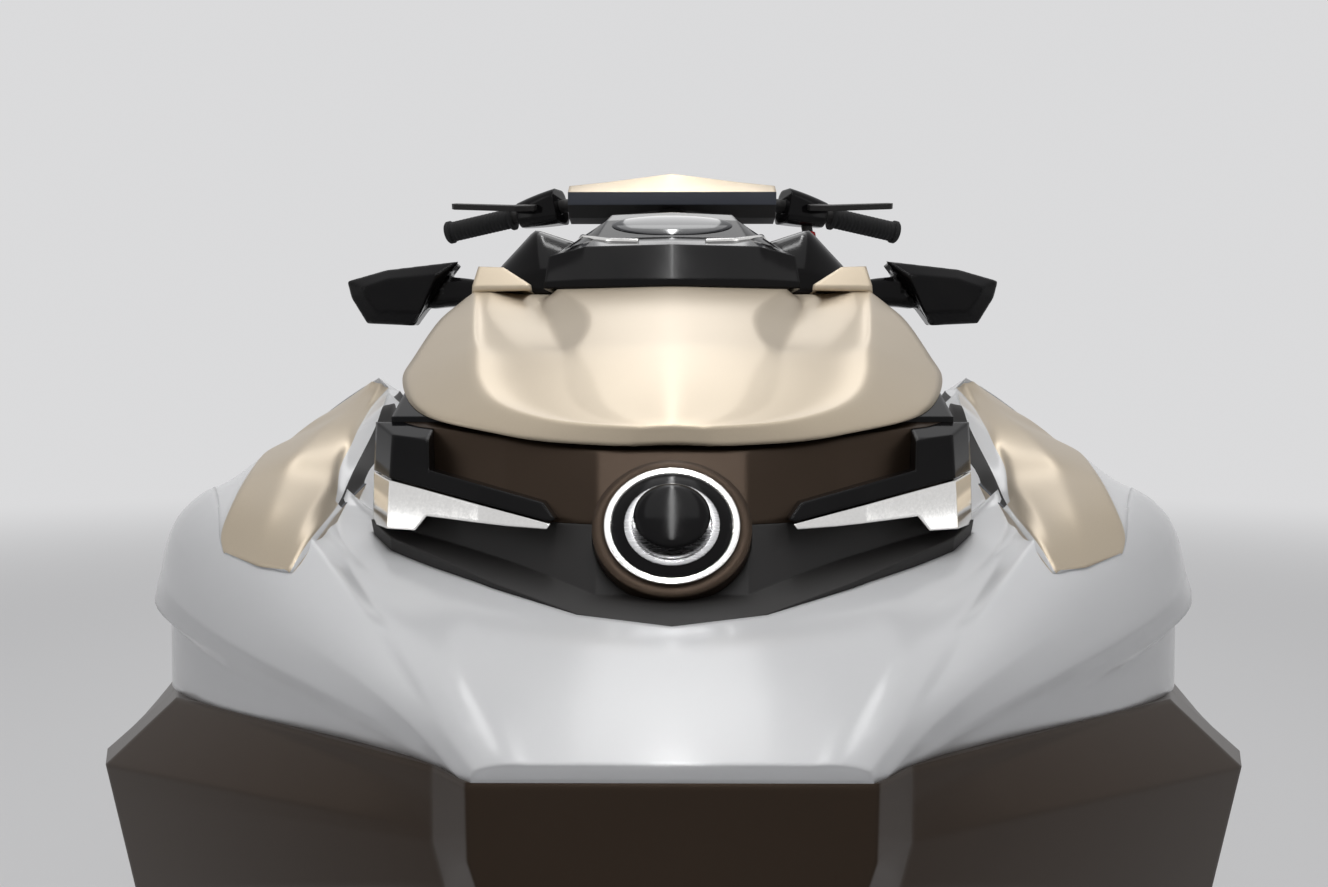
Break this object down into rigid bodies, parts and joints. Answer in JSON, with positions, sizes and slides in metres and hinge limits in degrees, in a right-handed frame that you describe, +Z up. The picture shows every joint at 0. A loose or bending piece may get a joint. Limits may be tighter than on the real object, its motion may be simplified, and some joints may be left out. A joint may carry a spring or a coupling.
{
  "type": "personal watercraft",
  "caption": "Three-seat personal watercraft with a jet pump, an opening hood over a storage bin, turning handlebar, steering nozzle, reverse gate and folding boarding ladder",
  "frame": {"origin": "amidships on the waterline, on the centreline", "axes": "+X port, +Y aft, +Z up; the bow points to -Y"},
  "size_m": [1.2384, 3.45, 1.1185],
  "materials": {
    "white_gelcoat": "gloss",
    "hull_gelcoat": "satin metallic",
    "champagne": "satin metallic",
    "gloss_black": "gloss",
    "matte_black": "matte",
    "bright_trim": "polished",
    "rubber": "matte",
    "seat_vinyl": "matte",
    "cast_aluminium": "satin",
    "steel": "brushed",
    "mirror_glass": "polished",
    "mat_foam": "matte",
    "display_glass": "gloss"
  },
  "bodies": {
    "craft": {"hull": "hull_gelcoat", "bow_bumper": "hull_gelcoat", "deck": "white_gelcoat", "chin": "matte_black", "fascia": "hull_gelcoat", "badge": "bright_trim", "bin_rim": "gloss_black", "console": "white_gelcoat", "seat_pedestal": "white_gelcoat", "engine": "matte_black", "pump_housing": "cast_aluminium", "ride_plate": "matte_black", "grab_handle": "matte_black", "steering_cowl": "matte_black", "front_seat": "seat_vinyl", "rear_seat": "seat_vinyl", "intake_grate": "cast_aluminium", "bow_eye": "steel", "rear_mat": "mat_foam", "rub_rail_port": "rubber", "rub_rail_starboard": "rubber", "ridge_panel_port": "champagne", "ridge_panel_starboard": "champagne", "sponson_port": "matte_black", "sponson_starboard": "matte_black", "vane_port": "gloss_black", "vane_starboard": "gloss_black", "vane_trim_port": "bright_trim", "vane_trim_starboard": "bright_trim", "ladder_bracket_port": "steel", "ladder_bracket_starboard": "steel", "stern_eye_port": "steel", "stern_eye_starboard": "steel", "footwell_mat_port": "mat_foam", "footwell_mat_starboard": "mat_foam"},
    "opening_hood": {"hood": "champagne", "visor": "gloss_black", "display": "display_glass", "hood_horn_port": "champagne", "hood_horn_starboard": "champagne", "mirror_port": "gloss_black", "mirror_starboard": "gloss_black", "mirror_glass_port": "mirror_glass", "mirror_glass_starboard": "mirror_glass"},
    "lid": {"glove_lid": "matte_black"},
    "bars": {"handlebar": "matte_black", "handlebar_pad": "matte_black", "steering_column": "matte_black", "grip_port": "rubber", "grip_starboard": "rubber", "switch_housing_port": "gloss_black", "switch_housing_starboard": "gloss_black", "lever_port": "matte_black", "lever_starboard": "matte_black"},
    "nozzle": {"steering_nozzle": "cast_aluminium"},
    "gate": {"reverse_gate": "cast_aluminium"},
    "ladder": {"boarding_ladder": "steel"},
    "rotor": {"impeller": "steel", "drive_shaft": "steel"}
  },
  "joints": [
    {"name": "handlebar_turn", "type": "hinge", "parent": "craft", "child": "bars", "pos_m": [0, -0.435, 0.838], "axis": [0, 0.3943, 0.919], "range_deg": [-20, 20]},
    {"name": "nozzle_steer", "type": "hinge", "parent": "craft", "child": "nozzle", "pos_m": [0, 1.445, -0.105], "axis": [0, 0, 1], "range_deg": [-20, 20]},
    {"name": "hood_open", "type": "hinge", "parent": "craft", "child": "opening_hood", "pos_m": [0, -1.407, 0.472], "axis": [1, 0, 0], "range_deg": [0, 60]},
    {"name": "glove_lid_open", "type": "hinge", "parent": "craft", "child": "lid", "pos_m": [0, -0.389, 0.628], "axis": [1, 0, 0], "range_deg": [0, 65]},
    {"name": "gate_drop", "type": "hinge", "parent": "craft", "child": "gate", "pos_m": [0, 1.36, -0.105], "axis": [-1, 0, 0], "range_deg": [0, 62]},
    {"name": "ladder_fold", "type": "hinge", "parent": "craft", "child": "ladder", "pos_m": [0, 1.667, 0.07], "axis": [-1, 0, 0], "range_deg": [0, 170]},
    {"name": "impeller_spin", "type": "hinge", "parent": "craft", "child": "rotor", "pos_m": [0, 1.165, -0.105], "axis": [0, 1, 0], "continuous": true}
  ],
  "couplings": [
    {"joint": "nozzle_steer", "follows": "handlebar_turn", "ratio": -1}
  ]
}
